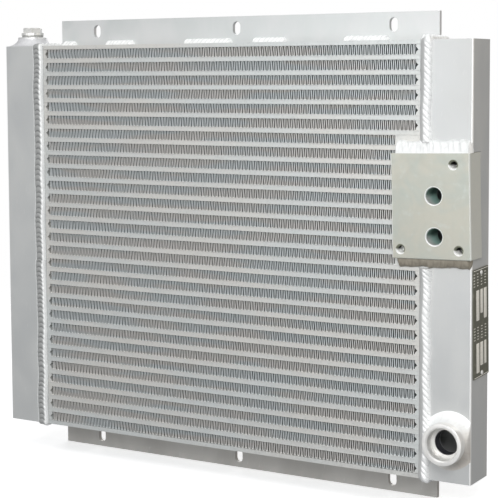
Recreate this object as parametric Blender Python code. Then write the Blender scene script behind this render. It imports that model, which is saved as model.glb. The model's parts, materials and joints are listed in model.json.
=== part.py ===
"""Bar-and-plate hydraulic oil cooler, all aluminium: a brazed core between two welded tanks.

X runs along the cooler's width, -Y is the face that the air enters, which carries the ports, and
+Z is up. The origin is at the middle of the bottom edge of the lower mounting flange, half way
between the front of the port boss and the back of the core. All sizes are in metres.
"""

import math

import bmesh
import bpy
from mathutils import Matrix

# Clearance that keeps touching pieces apart.
GAP = 0.0003

# Core: air rows alternate with oil passages, each one a bar between two parting sheets.
ROWS = 29
FIN_ROW_H = 0.0095
PASSAGE_H = 0.0032
SHEET_T = 0.0008
CORE_W = 0.449
CORE_D = 0.042
LONG_BAR_W = 0.006
END_BAR_W = 0.0045
GROOVE_D = 0.0023
GROOVE_H = 0.0048
SIDE_PLATE_T = 0.0045

# Nine rows end in wide bars beside the manifold block, because the block covers that stretch.
FIRST_WIDE_ROW = 7
LAST_WIDE_ROW = 15
WIDE_BAR_W = 0.0259

# Air fin: a corrugated strip.
FIN_WAVES = 16
FIN_T = 0.0007
FIN_SETBACK = 0.0005

# Tanks: a channel open towards the core, closed by a cap at each end.
TANK_W = 0.053
TANK_WALL = 0.004
TANK_EDGE_R = 0.0015
CAP_T = 0.005

# Mounting flanges: slotted strips that stand on the side plates at the back.
FLANGE_H = 0.028
FLANGE_T = 0.0045
FLANGE_L = 0.455
SLOT_PITCH = 0.179
SLOT_W = 0.009
SLOT_H = 0.014
SLOT_RISE = 0.0157

# Manifold block, let into the right tank a little out of square, about its own centre.
# Places are measured from its top right corner.
BLOCK_W = 0.080
BLOCK_H = 0.100
BLOCK_T = 0.027
BLOCK_PROUD = 0.008
BLOCK_OUT = 0.0012
BLOCK_DROP = 0.106
BLOCK_EDGE_R = 0.0007
BLOCK_TURN = math.radians(1.3)
PORT_R = 0.0081
PORT_CHAMFER = 0.0007
PORT_IN = 0.0367
PORT_DROPS = (0.0402, 0.0786)
STUD_HOLE_R = 0.0034
STUD_HOLE_CHAMFER = 0.0012
STUD_HOLE_DEPTH = 0.014
STUD_HOLE_PLACES = ((0.0164, 0.0110), (0.0123, 0.0911), (0.0714, 0.0911))

# Return port boss on the right tank.
BOSS_R = 0.020
BOSS_PROUD = 0.021
BOSS_FROM_SIDE = 0.021
BOSS_RISE = 0.0408
THREAD_R = 0.0153
THREAD_CHAMFER = 0.0014
THREAD_DEPTH = 0.013
BOSS_BORE_R = 0.012
BOSS_WELD_R = 0.0272
BOSS_WELD_H = 0.0095

# Bleed boss and screw plug on top of the left tank.
BLEED_FROM_SIDE = 0.0215
BLEED_BOSS_R = 0.016
BLEED_BOSS_H = 0.010
BLEED_BORE_R = 0.0068
BLEED_WELD_R = 0.0191
BLEED_WELD_H = 0.006
WASHER_R = 0.0118
WASHER_T = 0.0015
PLUG_FLANGE_R = 0.0122
PLUG_FLANGE_T = 0.0027
PLUG_ACROSS_FLATS = 0.019
PLUG_HEX_H = 0.0057
PLUG_SHANK_R = 0.0063
PLUG_SHANK_L = 0.0105

# Weld beads between the core and the tanks.
WELD_FROM_CORE = 0.0032
WELD_W = 0.0085
WELD_H = 0.003
WELD_BACK_H = 0.001
BLOCK_WELD_H = 0.0095

# Rating plate on the right tank's outer side, and its drive rivets.
NAMEPLATE_W = 0.037
NAMEPLATE_H = 0.104
NAMEPLATE_T = 0.0008
NAMEPLATE_DROP = 0.2145
NAMEPLATE_TILT = math.radians(2)
RIVET_IN = 0.004
RIVET_R = 0.0013
RIVET_HEAD_R = 0.0023
RIVET_HEAD_H = 0.0011
RIVET_SHANK_L = 0.003

# Heights and sides that follow from the sizes above.
PASSAGES = ROWS - 1
OIL_H = PASSAGE_H + 2 * SHEET_T
ROW_PITCH = FIN_ROW_H + OIL_H
CORE_H = ROWS * FIN_ROW_H + PASSAGES * OIL_H
TANK_BOTTOM = FLANGE_H
CORE_BOTTOM = TANK_BOTTOM + SIDE_PLATE_T
CORE_TOP = CORE_BOTTOM + CORE_H
TANK_TOP = CORE_TOP + SIDE_PLATE_T
CORE_X = CORE_W / 2
TANK_X = CORE_X + TANK_W
FRONT = BOSS_PROUD - (BOSS_PROUD + CORE_D) / 2
BACK = FRONT + CORE_D
MIDDLE = (FRONT + BACK) / 2
BLOCK_TOP = TANK_TOP - BLOCK_DROP
BLOCK_BOTTOM = BLOCK_TOP - BLOCK_H
BLOCK_FRONT = FRONT - BLOCK_PROUD
BLOCK_BACK = BLOCK_FRONT + BLOCK_T
BLOCK_RIGHT = TANK_X + BLOCK_OUT
BLOCK_SWAY = BLOCK_H / 2 * math.sin(BLOCK_TURN)
BOSS_X = TANK_X - BOSS_FROM_SIDE
BOSS_Z = TANK_BOTTOM + BOSS_RISE
BLEED_X = -TANK_X + BLEED_FROM_SIDE
BLEED_SEAT = TANK_TOP + BLEED_BOSS_H
WELD_X = CORE_X + WELD_FROM_CORE + WELD_W / 2
NAMEPLATE_Z = TANK_TOP - NAMEPLATE_DROP - NAMEPLATE_H / 2
RIVET_RISE = NAMEPLATE_H / 2 - RIVET_IN

# Rotations that turn a shape's own Z axis to the front, or to the right.
TO_FRONT = (math.radians(90), 0, 0)
TO_RIGHT = (0, math.radians(90), 0)


def clear_scene():
    for obj in list(bpy.data.objects):
        bpy.data.objects.remove(obj)


def make_material(name, colour, roughness, metallic):
    material = bpy.data.materials.new(name)
    material.use_nodes = True
    shader = material.node_tree.nodes["Principled BSDF"]
    shader.inputs["Base Color"].default_value = (*colour, 1)
    shader.inputs["Roughness"].default_value = roughness
    shader.inputs["Metallic"].default_value = metallic
    return material


def add_object(name, bm, material, smooth=True):
    """Links a new object that holds the mesh, with its faces turned outwards."""
    bmesh.ops.recalc_face_normals(bm, faces=bm.faces)
    mesh = bpy.data.meshes.new(name)
    bm.to_mesh(mesh)
    bm.free()
    if smooth:
        mesh.shade_smooth()
        mesh.set_sharp_from_angle(angle=math.radians(30))
    if material:
        mesh.materials.append(material)
    obj = bpy.data.objects.new(name, mesh)
    bpy.context.scene.collection.objects.link(obj)
    return obj


def put_prism(bm, outline, low, high):
    """Adds the solid between two copies of a flat outline, along Z."""
    rings = [[bm.verts.new((x, y, z)) for x, y in outline] for z in (low, high)]
    for ring in rings:
        bm.faces.new(ring)
    count = len(outline)
    for i in range(count):
        j = (i + 1) % count
        bm.faces.new((rings[0][i], rings[0][j], rings[1][j], rings[1][i]))


def put_box(bm, low, high):
    outline = ((low[0], low[1]), (high[0], low[1]), (high[0], high[1]), (low[0], high[1]))
    put_prism(bm, outline, low[2], high[2])


def prism(name, outline, low, high, material, location=(0, 0, 0), rotation=(0, 0, 0)):
    bm = bmesh.new()
    put_prism(bm, outline, low, high)
    obj = add_object(name, bm, material)
    obj.location = location
    obj.rotation_euler = rotation
    return obj


def block_shape(name, low, high, material):
    bm = bmesh.new()
    put_box(bm, low, high)
    return add_object(name, bm, material, smooth=False)


def turned(name, profile, material, location, rotation=(0, 0, 0), sides=32, hex_rows=()):
    """Turns a closed (radius, height) profile about Z. Rows named in hex_rows come out hexagonal."""
    bm = bmesh.new()
    rings = []
    for row, (radius, height) in enumerate(profile):
        if radius == 0:
            rings.append([bm.verts.new((0, 0, height))])
            continue
        ring = []
        for i in range(sides):
            angle = 2 * math.pi * i / sides
            reach = radius
            if row in hex_rows:
                reach = radius / math.cos(angle % (math.pi / 3) - math.pi / 6)
            ring.append(bm.verts.new((reach * math.cos(angle), reach * math.sin(angle), height)))
        rings.append(ring)
    for lower, upper in zip(rings, rings[1:] + rings[:1]):
        for i in range(sides):
            j = (i + 1) % sides
            corners = [lower[i % len(lower)], lower[j % len(lower)]]
            corners += [upper[j % len(upper)], upper[i % len(upper)]]
            corners = list(dict.fromkeys(corners))
            if len(corners) > 2:
                bm.faces.new(corners)
    obj = add_object(name, bm, material)
    obj.location = location
    obj.rotation_euler = rotation
    return obj


def cut(obj, cutter):
    """Takes the cutter's shape out of the object, and keeps the cutter as a hidden helper."""
    cutter.hide_render = True
    cutter.display_type = "WIRE"
    boolean = obj.modifiers.new(cutter.name, "BOOLEAN")
    boolean.operation = "DIFFERENCE"
    boolean.solver = "EXACT"
    boolean.object = cutter


def soften(obj, width):
    """Rounds the object's sharp edges a little."""
    bevel = obj.modifiers.new("soft_edges", "BEVEL")
    bevel.width = width
    bevel.segments = 1
    bevel.limit_method = "ANGLE"
    bevel.angle_limit = math.radians(40)


def hole(name, radius, chamfer, depth, location, rotation, sides=24):
    """A cutter for a round hole with a chamfered mouth at its location, sunk against its own Z."""
    over = 0.001
    profile = [
        (0, -depth),
        (radius, -depth),
        (radius, -chamfer),
        (radius + chamfer + over, over),
        (0, over),
    ]
    return turned(name, profile, None, location, rotation, sides)


def make_block_turner():
    """An empty at the block's centre. What is parented to it sits as much out of square."""
    turner = bpy.data.objects.new("block_turner", None)
    turner.location = (BLOCK_RIGHT - BLOCK_W / 2, FRONT, BLOCK_TOP - BLOCK_H / 2)
    turner.rotation_euler = (0, -BLOCK_TURN, 0)
    bpy.context.scene.collection.objects.link(turner)
    return turner


def turn_with_block(obj, turner):
    obj.parent = turner
    obj.matrix_parent_inverse = Matrix.Translation(-turner.location)


def row_span(row):
    """The bottom and top of an air row, counted from 1 at the top."""
    top = CORE_TOP - (row - 1) * ROW_PITCH
    return top - FIN_ROW_H, top


def is_wide(row):
    return FIRST_WIDE_ROW <= row <= LAST_WIDE_ROW


def window_outline(row):
    """An air row's opening: its end bars have a V groove, and wide end bars a flat face."""
    bottom, top = row_span(row)
    centre = (bottom + top) / 2
    over = 0.001
    if row == 1:
        top += over
    if row == ROWS:
        bottom -= over
    inner = CORE_X - END_BAR_W
    left = [
        (-inner, top),
        (-inner, centre + GROOVE_H / 2),
        (-inner - GROOVE_D, centre),
        (-inner, centre - GROOVE_H / 2),
        (-inner, bottom),
    ]
    if is_wide(row):
        flat = CORE_X - WIDE_BAR_W
        return left + [(flat, bottom), (flat, top)]
    return left + [(-x, z) for x, z in reversed(left)]


def make_core(material):
    """Parting sheets, long bars and end bars, brazed into one frame."""
    core = block_shape(
        "brazed_core_frame", (-CORE_X, FRONT, CORE_BOTTOM), (CORE_X, BACK, CORE_TOP), material
    )
    over = 0.001
    windows = bmesh.new()
    for row in range(1, ROWS + 1):
        put_prism(windows, window_outline(row), -BACK - over, -FRONT + over)
    air = add_object("air_windows", windows, None, smooth=False)
    air.rotation_euler = TO_FRONT
    cut(core, air)
    slots = bmesh.new()
    for passage in range(1, PASSAGES + 1):
        low = row_span(passage)[0] - SHEET_T - PASSAGE_H
        put_box(
            slots,
            (-CORE_X - over, FRONT + LONG_BAR_W, low),
            (CORE_X + over, BACK - LONG_BAR_W, low + PASSAGE_H),
        )
    cut(core, add_object("oil_slots", slots, None, smooth=False))


def fin_outline(row):
    """A zigzag strip that nearly fills an air row."""
    bottom, top = row_span(row)
    left = -CORE_X + END_BAR_W + 2 * GAP
    right = CORE_X - (WIDE_BAR_W if is_wide(row) else END_BAR_W) - 2 * GAP
    steps = 2 * FIN_WAVES
    run = (right - left) / steps
    rise = top - bottom - 2 * GAP
    upright_t = FIN_T * math.hypot(run, rise) / run
    crest = (rise - upright_t) / 2
    line = [(left + i * run, (bottom + top) / 2 + crest * (-1) ** i) for i in range(steps + 1)]
    upper = [(x, z + upright_t / 2) for x, z in line]
    lower = [(x, z - upright_t / 2) for x, z in line]
    return upper + lower[::-1]


def make_fins(material):
    for row in range(1, ROWS + 1):
        prism(
            f"air_fin_{row:02d}",
            fin_outline(row),
            -BACK + FIN_SETBACK,
            -FRONT - FIN_SETBACK,
            material,
            rotation=TO_FRONT,
        )


def make_side_plates(material):
    block_shape(
        "side_plate_top", (-CORE_X, FRONT, CORE_TOP + GAP), (CORE_X, BACK, TANK_TOP), material
    )
    block_shape(
        "side_plate_bottom",
        (-CORE_X, FRONT, TANK_BOTTOM),
        (CORE_X, BACK, CORE_BOTTOM - GAP),
        material,
    )


def rounded_corner(x, y, turn, radius, steps=3):
    """Points of a quarter round inside the corner (x, y); turn is the angle where it starts."""
    centre_x = x - radius * math.copysign(1, math.cos(turn + math.pi / 4))
    centre_y = y - radius * math.copysign(1, math.sin(turn + math.pi / 4))
    angles = [turn + math.pi / 2 * i / steps for i in range(steps + 1)]
    return [(centre_x + radius * math.cos(a), centre_y + radius * math.sin(a)) for a in angles]


def make_tank(name, side, material):
    """A channel with its back to the outside; side is 1 for the right tank and -1 for the left."""
    inner = CORE_X + GAP
    outline = [(inner, FRONT)]
    outline += rounded_corner(TANK_X, FRONT, -math.pi / 2, TANK_EDGE_R)
    outline += rounded_corner(TANK_X, BACK, 0, TANK_EDGE_R)
    outline += [
        (inner, BACK),
        (inner, BACK - TANK_WALL),
        (TANK_X - TANK_WALL, BACK - TANK_WALL),
        (TANK_X - TANK_WALL, FRONT + TANK_WALL),
        (inner, FRONT + TANK_WALL),
    ]
    outline = [(side * x, y) for x, y in outline]
    return prism(name, outline, TANK_BOTTOM, TANK_TOP, material)


def make_cap(name, side, low, material):
    inner = CORE_X + 2 * GAP
    outer = TANK_X - TANK_WALL - GAP
    ends = sorted((side * inner, side * outer))
    return block_shape(
        name,
        (ends[0], FRONT + TANK_WALL + GAP, low),
        (ends[1], BACK - TANK_WALL - GAP, low + CAP_T),
        material,
    )


def make_tanks(turner, material):
    """Both tanks with their caps. Returns the right tank, which the nameplate is riveted to."""
    make_tank("left_tank", -1, material)
    right = make_tank("right_tank", 1, material)
    tops = []
    for word, side in (("left", -1), ("right", 1)):
        make_cap(f"{word}_tank_bottom_cap", side, TANK_BOTTOM, material)
        tops.append(make_cap(f"{word}_tank_top_cap", side, TANK_TOP - CAP_T, material))
    place = (BLEED_X, MIDDLE, TANK_TOP)
    cut(tops[0], hole("bleed_cap_hole", BLEED_BORE_R, 0, 2 * CAP_T, place, (0, 0, 0)))
    over = 0.001
    pocket = block_shape(
        "block_pocket",
        (CORE_X - BLOCK_SWAY - over, FRONT - over, BLOCK_BOTTOM - GAP),
        (BLOCK_RIGHT + BLOCK_SWAY + over, BLOCK_BACK + GAP, BLOCK_TOP + GAP),
        None,
    )
    turn_with_block(pocket, turner)
    cut(right, pocket)
    place = (BOSS_X, FRONT, BOSS_Z)
    cut(right, hole("boss_wall_hole", BOSS_BORE_R, 0, 2 * TANK_WALL, place, TO_FRONT))
    return right


def make_baffle(material):
    """Divides the right tank between the block's two ports, so that the oil passes twice."""
    centre = BLOCK_TOP - sum(PORT_DROPS) / 2
    thickness = 0.003
    block_shape(
        "right_tank_baffle",
        (CORE_X + 2 * GAP, BLOCK_BACK + GAP, centre - thickness / 2),
        (TANK_X - TANK_WALL - GAP, BACK - TANK_WALL - GAP, centre + thickness / 2),
        material,
    )


def make_manifold_block(turner, material):
    """A slab over the core's edge and the tank, with a thicker part let into the tank."""
    left = BLOCK_RIGHT - BLOCK_W
    step = CORE_X + 2 * GAP + BLOCK_SWAY
    outline = (
        (left, BLOCK_FRONT),
        (BLOCK_RIGHT, BLOCK_FRONT),
        (BLOCK_RIGHT, BLOCK_BACK),
        (step, BLOCK_BACK),
        (step, FRONT - GAP),
        (left, FRONT - GAP),
    )
    block = prism("manifold_block", outline, BLOCK_BOTTOM, BLOCK_TOP, material)
    turn_with_block(block, turner)
    soften(block, BLOCK_EDGE_R)
    bores = []
    for number, drop in enumerate(PORT_DROPS, 1):
        place = (BLOCK_RIGHT - PORT_IN, BLOCK_FRONT, BLOCK_TOP - drop)
        name = f"port_{number}_bore"
        bores.append(hole(name, PORT_R, PORT_CHAMFER, 2 * BLOCK_T, place, TO_FRONT, 32))
    for number, (across, drop) in enumerate(STUD_HOLE_PLACES, 1):
        place = (BLOCK_RIGHT - across, BLOCK_FRONT, BLOCK_TOP - drop)
        name = f"stud_hole_{number}_bore"
        depth = STUD_HOLE_DEPTH
        bores.append(hole(name, STUD_HOLE_R, STUD_HOLE_CHAMFER, depth, place, TO_FRONT, 16))
    for bore in bores:
        turn_with_block(bore, turner)
        cut(block, bore)


def make_port_boss(material, weld_material):
    """A threaded boss on the right tank's front wall, and the fillet weld round its foot."""
    edge = 0.0008
    profile = [
        (BOSS_BORE_R, GAP),
        (BOSS_R, GAP),
        (BOSS_R, BOSS_PROUD - edge),
        (BOSS_R - edge, BOSS_PROUD),
        (THREAD_R + THREAD_CHAMFER, BOSS_PROUD),
        (THREAD_R, BOSS_PROUD - THREAD_CHAMFER),
        (THREAD_R, BOSS_PROUD - THREAD_DEPTH),
        (BOSS_BORE_R, BOSS_PROUD - THREAD_DEPTH),
    ]
    place = (BOSS_X, FRONT, BOSS_Z)
    turned("port_boss", profile, material, place, TO_FRONT, 40)
    foot = weld_profile(BOSS_R + GAP, BOSS_WELD_R, BOSS_WELD_H)
    weld = turned("port_boss_weld", foot, weld_material, place, TO_FRONT, 32)
    size = 2 * BOSS_WELD_R
    bead_edge = WELD_X + WELD_W / 2 + GAP
    for word, low_x, high_x in (
        ("side", TANK_X, TANK_X + size),
        ("bead", bead_edge - size, bead_edge),
    ):
        low = (low_x, FRONT - size, BOSS_Z - size)
        high = (high_x, FRONT + size, BOSS_Z + size)
        cut(weld, block_shape(f"port_boss_weld_{word}_trim", low, high, None))


def weld_profile(inner, outer, height, steps=4):
    """A hollow fillet's section: upright against a boss, flat on the wall, and dished between."""
    arc = []
    for i in range(steps + 1):
        angle = math.pi / 2 * i / steps
        across = outer - (outer - inner) * 0.9 * math.sin(angle)
        arc.append((across, GAP + 0.0004 + (height - 0.0004) * (1 - math.cos(angle))))
    return [(inner, GAP), (outer, GAP), *arc, (inner, GAP + height)]


def make_bleed_fittings(material, washer_material, plug_material, weld_material):
    """The bleed boss with its weld, the sealing washer, and the plug that screws into the boss."""
    edge = 0.0006
    seat = BLEED_BOSS_H
    boss = [
        (BLEED_BORE_R, GAP),
        (BLEED_BOSS_R, GAP),
        (BLEED_BOSS_R, seat - edge),
        (BLEED_BOSS_R - edge, seat),
        (BLEED_BORE_R, seat),
    ]
    foot = (BLEED_X, MIDDLE, TANK_TOP)
    turned("bleed_boss", boss, material, foot)
    weld = weld_profile(BLEED_BOSS_R + GAP, BLEED_WELD_R, BLEED_WELD_H)
    turned("bleed_boss_weld", weld, weld_material, foot)
    washer = [
        (PLUG_SHANK_R + GAP, GAP),
        (WASHER_R, GAP),
        (WASHER_R, GAP + WASHER_T),
        (PLUG_SHANK_R + GAP, GAP + WASHER_T),
    ]
    axis_point = (BLEED_X, MIDDLE, BLEED_SEAT)
    turned("bleed_washer", washer, washer_material, axis_point, sides=24)
    under = 2 * GAP + WASHER_T
    hex_low = under + PLUG_FLANGE_T
    hex_high = hex_low + PLUG_HEX_H
    apothem = PLUG_ACROSS_FLATS / 2
    plug = [
        (0, under - PLUG_SHANK_L),
        (PLUG_SHANK_R - edge, under - PLUG_SHANK_L),
        (PLUG_SHANK_R, under - PLUG_SHANK_L + edge),
        (PLUG_SHANK_R, under),
        (PLUG_FLANGE_R, under),
        (PLUG_FLANGE_R, hex_low),
        (apothem, hex_low),
        (apothem, hex_high - edge),
        (apothem * 0.96, hex_high),
        (0, hex_high),
    ]
    turned("bleed_plug", plug, plug_material, axis_point, sides=24, hex_rows=(6, 7))


def slot_outline(x, z):
    """An upright slot with round ends."""
    radius = SLOT_W / 2
    reach = SLOT_H / 2 - radius
    steps = 8
    points = []
    for end, start in ((1, 0), (-1, math.pi)):
        for i in range(steps + 1):
            angle = start + math.pi * i / steps
            points.append((x + radius * math.cos(angle), z + end * reach + radius * math.sin(angle)))
    return points


def make_flange(name, low, high, slot_z, material):
    strip = block_shape(
        name, (-FLANGE_L / 2, BACK - FLANGE_T, low), (FLANGE_L / 2, BACK, high), material
    )
    over = 0.001
    slots = bmesh.new()
    for step in (-1, 0, 1):
        outline = slot_outline(step * SLOT_PITCH, slot_z)
        put_prism(slots, outline, -BACK - over, -BACK + FLANGE_T + over)
    cutter = add_object(f"{name}_slots", slots, None)
    cutter.rotation_euler = TO_FRONT
    cut(strip, cutter)


def make_flanges(material):
    high = TANK_TOP + FLANGE_H
    make_flange("top_mounting_flange", TANK_TOP + GAP, high, TANK_TOP + SLOT_RISE, material)
    low = TANK_BOTTOM - GAP
    make_flange("bottom_mounting_flange", 0, low, TANK_BOTTOM - SLOT_RISE, material)


def bead(name, side, corners, closed, material):
    """A half-round bead laid along corners given as (y, z, y growth, z growth)."""
    steps = 6
    section = []
    for i in range(steps + 1):
        angle = math.pi * i / steps
        section.append((side * (WELD_X - WELD_W / 2 * math.cos(angle)), math.sin(angle)))
    bm = bmesh.new()
    rings = []
    for y, z, grow_y, grow_z in corners:
        rings.append([bm.verts.new((x, y + grow_y * n, z + grow_z * n)) for x, n in section])
    pairs = list(zip(rings, rings[1:]))
    if closed:
        pairs.append((rings[-1], rings[0]))
    else:
        bm.faces.new(rings[0])
        bm.faces.new(rings[-1])
    for first, second in pairs:
        for i in range(len(section)):
            j = (i + 1) % len(section)
            bm.faces.new((first[i], first[j], second[j], second[i]))
    add_object(name, bm, material)


def make_tank_welds(material):
    """Beads round the joint of each tank; the right one stops above and below the block's welds."""
    front = FRONT - GAP
    back = BACK + GAP
    low = TANK_BOTTOM - GAP
    high = TANK_TOP + GAP
    around = [
        (front, low, -WELD_H, -WELD_H),
        (back, low, WELD_BACK_H, -WELD_H),
        (back, high, WELD_BACK_H, WELD_H),
        (front, high, -WELD_H, WELD_H),
    ]
    bead("left_tank_weld", -1, around, True, material)
    start = (front, BLOCK_BOTTOM - BLOCK_WELD_H - 2 * GAP, -WELD_H, 0)
    end = (front, BLOCK_TOP + BLOCK_WELD_H + 2 * GAP, -WELD_H, 0)
    bead("right_tank_weld", 1, [start, *around, end], False, material)


def make_block_welds(turner, material):
    """Fillets along the block's top and bottom, on the front of the tank and the core."""
    left = BLOCK_RIGHT - BLOCK_W + 0.002
    steps = 4
    toe = FRONT - GAP
    reach = BLOCK_PROUD - GAP - BLOCK_EDGE_R
    for name, edge, up in (
        ("manifold_block_top_weld", BLOCK_TOP + GAP, 1),
        ("manifold_block_bottom_weld", BLOCK_BOTTOM - GAP, -1),
    ):
        section = [(toe, edge)]
        for i in range(steps + 1):
            angle = math.pi / 2 * i / steps
            out = toe - reach * math.cos(angle)
            section.append((out, edge + up * BLOCK_WELD_H * math.sin(angle)))
        bm = bmesh.new()
        rings = [[bm.verts.new((x, y, z)) for y, z in section] for x in (left, TANK_X)]
        for ring in rings:
            bm.faces.new(ring)
        for i in range(len(section)):
            j = (i + 1) % len(section)
            bm.faces.new((rings[0][i], rings[0][j], rings[1][j], rings[1][i]))
        turn_with_block(add_object(name, bm, material), turner)


def make_nameplate(tank, plate_material, rivet_material):
    """A thin plate on the tank's outer side, a little out of square, held by two drive rivets."""
    face = TANK_X + GAP
    half_w = NAMEPLATE_W / 2
    half_h = NAMEPLATE_H / 2
    lean = math.sin(NAMEPLATE_TILT)
    upright = math.cos(NAMEPLATE_TILT)
    corners = ((half_h, -half_w), (half_h, half_w), (-half_h, half_w), (-half_h, -half_w))
    outline = [(-up * upright - y * lean, -up * lean + y * upright) for up, y in corners]
    centre = (face, MIDDLE, NAMEPLATE_Z)
    plate = prism("nameplate", outline, 0, NAMEPLATE_T, plate_material, centre, TO_RIGHT)
    head = GAP + NAMEPLATE_T
    profile = [
        (0, -RIVET_SHANK_L),
        (RIVET_R, -RIVET_SHANK_L),
        (RIVET_R, head),
        (RIVET_HEAD_R, head),
        (RIVET_HEAD_R * 0.8, head + RIVET_HEAD_H * 0.7),
        (0, head + RIVET_HEAD_H),
    ]
    for word, side in (("top", 1), ("bottom", -1)):
        along = side * RIVET_RISE
        place = (face, MIDDLE - along * lean, NAMEPLATE_Z + along * upright)
        turned(f"nameplate_{word}_rivet", profile, rivet_material, place, TO_RIGHT, 12)
        depth = RIVET_SHANK_L + GAP
        radius = RIVET_R + GAP
        drilled = hole(f"{word}_rivet_hole", radius, 0, depth, place, TO_RIGHT, 12)
        cut(tank, drilled)
        mouth = (face + NAMEPLATE_T, *place[1:])
        cut(plate, hole(f"{word}_plate_hole", radius, 0, depth, mouth, TO_RIGHT, 12))


def main():
    clear_scene()
    brazed = make_material("brazed_aluminium", (0.66, 0.68, 0.69), 0.42, 1)
    fin = make_material("fin_aluminium", (0.50, 0.53, 0.54), 0.38, 1)
    tank = make_material("tank_aluminium", (0.72, 0.73, 0.73), 0.45, 1)
    weld = make_material("weld_aluminium", (0.86, 0.87, 0.87), 0.30, 1)
    machined = make_material("machined_aluminium", (0.66, 0.67, 0.61), 0.40, 1)
    turned_metal = make_material("turned_aluminium", (0.80, 0.80, 0.78), 0.28, 1)
    steel = make_material("plated_steel", (0.62, 0.62, 0.60), 0.30, 1)
    seal = make_material("sealing_washer", (0.10, 0.10, 0.10), 0.6, 0)
    plate = make_material("nameplate", (0.09, 0.09, 0.07), 0.45, 0)

    block_turner = make_block_turner()
    make_core(brazed)
    make_fins(fin)
    make_side_plates(brazed)
    right_tank = make_tanks(block_turner, tank)
    make_baffle(tank)
    make_manifold_block(block_turner, machined)
    make_port_boss(turned_metal, weld)
    make_bleed_fittings(turned_metal, seal, steel, weld)
    make_flanges(brazed)
    make_tank_welds(weld)
    make_block_welds(block_turner, weld)
    make_nameplate(right_tank, plate, turned_metal)


main()
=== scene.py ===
"""Looks of a bar-and-plate hydraulic oil cooler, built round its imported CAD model.

The CAD nodes give the places and sizes. This script adds what they leave out: the fine air fins,
rippled welds, turned bosses, threads, the rating plate's blank fields, and a procedural finish for
every surface.
X runs along the cooler's width, -Y is the front that carries the ports, and +Z is up, in metres.
"""

import json
import math
import random

import bmesh
import bpy
from mathutils import Matrix, Vector, noise


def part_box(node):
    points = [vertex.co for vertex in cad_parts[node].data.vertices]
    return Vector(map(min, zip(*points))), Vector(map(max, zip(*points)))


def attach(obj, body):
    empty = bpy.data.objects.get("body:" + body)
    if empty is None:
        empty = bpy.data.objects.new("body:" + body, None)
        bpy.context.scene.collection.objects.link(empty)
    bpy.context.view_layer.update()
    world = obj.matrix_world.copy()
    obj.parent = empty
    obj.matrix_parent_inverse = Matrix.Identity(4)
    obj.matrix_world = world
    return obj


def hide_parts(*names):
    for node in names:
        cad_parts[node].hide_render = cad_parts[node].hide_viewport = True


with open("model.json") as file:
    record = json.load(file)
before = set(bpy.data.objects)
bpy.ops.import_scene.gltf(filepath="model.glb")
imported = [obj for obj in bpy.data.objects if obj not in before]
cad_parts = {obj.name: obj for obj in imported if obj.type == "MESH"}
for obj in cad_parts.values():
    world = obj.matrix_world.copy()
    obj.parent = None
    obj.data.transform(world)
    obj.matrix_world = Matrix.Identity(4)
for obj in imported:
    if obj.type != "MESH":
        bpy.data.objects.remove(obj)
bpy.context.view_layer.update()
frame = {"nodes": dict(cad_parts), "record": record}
nodes = frame["nodes"]

MM = 0.001
TAU = math.tau
BODY = "cooler"

# Planes of the CAD model that the looks are laid on.
CORE_LOW, CORE_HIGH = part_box("brazed_core_frame")
FRONT = CORE_LOW.y
BACK = CORE_HIGH.y
TANK_LOW, TANK_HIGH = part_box("right_tank")
SIDE_X = TANK_HIGH.x
TANK_BOTTOM = TANK_LOW.z
TANK_TOP = TANK_HIGH.z

# Air fins: corrugated foil, one strip for each row. Half a crest's flat and the bend beside it, the
# shoulder's height, how far the waves lean and sway, and the painted light on the foil at and behind
# its edge.
ROWS = 29
FIN_WAVE = 4.1 * MM
FIN_FOIL = 0.5 * MM
FIN_CREST = 0.6 * MM
FIN_BEND = 0.25 * MM
FIN_SHOULDER = 0.5 * MM
FIN_LEAN = 0.3 * MM
FIN_SWAY = 0.3 * MM
FIN_DEPTH_STEPS = 6
FIN_EDGES = (0, 0.5 * MM, 1.3 * MM)
FIN_EDGE_LIGHT = (1.0, 0.6, 0.0)
FIN_GAP = 0.3 * MM
FIN_SUNK = 0.9 * MM

# Parting sheets: their thickness, and how far their edges stand proud of the bars.
SHEET_T = 0.8 * MM
SHEET_PROUD = 0.25 * MM

# Manifold block: how far it is turned in the front's plane, half its width and height, and its holes'
# radii and chamfers.
BLOCK_TURN = math.radians(1.3)
BLOCK_HALF_W = 40 * MM
BLOCK_HALF_H = 50 * MM
PORT_R = 8.1 * MM
PORT_CHAMFER = 0.7 * MM
STUD_R = 3.4 * MM
STUD_CHAMFER = 1.2 * MM

# Rating plate, in mm from its centre: blank fields and two edge lines as (left, bottom, right, top),
# then the columns and rows of short dashes.
PLATE_TILT = math.radians(2)
PLATE_FIELDS = (
    (-11.5, 3, -4.5, 32),
    (-1.5, 9, 4.5, 32),
    (7.0, 3, 14.0, 32),
    (-12.0, -47, -5.0, -18.5),
    (-2.5, -41, 4.5, -18.5),
    (7.5, -41, 12.5, -18.5),
    (-17.5, 50.6, 17.5, 51.2),
    (-17.5, -51.2, 17.5, -50.6),
)
PLATE_COLUMNS = (-16, -8, 1.5, 10.5)
PLATE_MARK_ROWS = 5
PLATE_MARK_STEP = 2.8

# Port boss, and the socket and bore in it. Bleed boss and its bore.
BOSS_R = 20 * MM
SOCKET_R = 15.3 * MM
SOCKET_DEPTH = 13 * MM
BOSS_BORE_R = 12 * MM
BLEED_R = 16 * MM
BLEED_BORE_R = 6.8 * MM

# Bleed plug: its shank's radius and its thread's lead.
PLUG_SHANK_R = 6.3 * MM
PLUG_LEAD = 1.337 * MM

# Welds: the ripples' usual spacing, the mesh's steps along them, and the painted shade in the valleys.
RIPPLE_PITCH = 5.0 * MM
RIPPLE_STEP = 0.5 * MM
VALLEY_SHADE = 0.5

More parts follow.
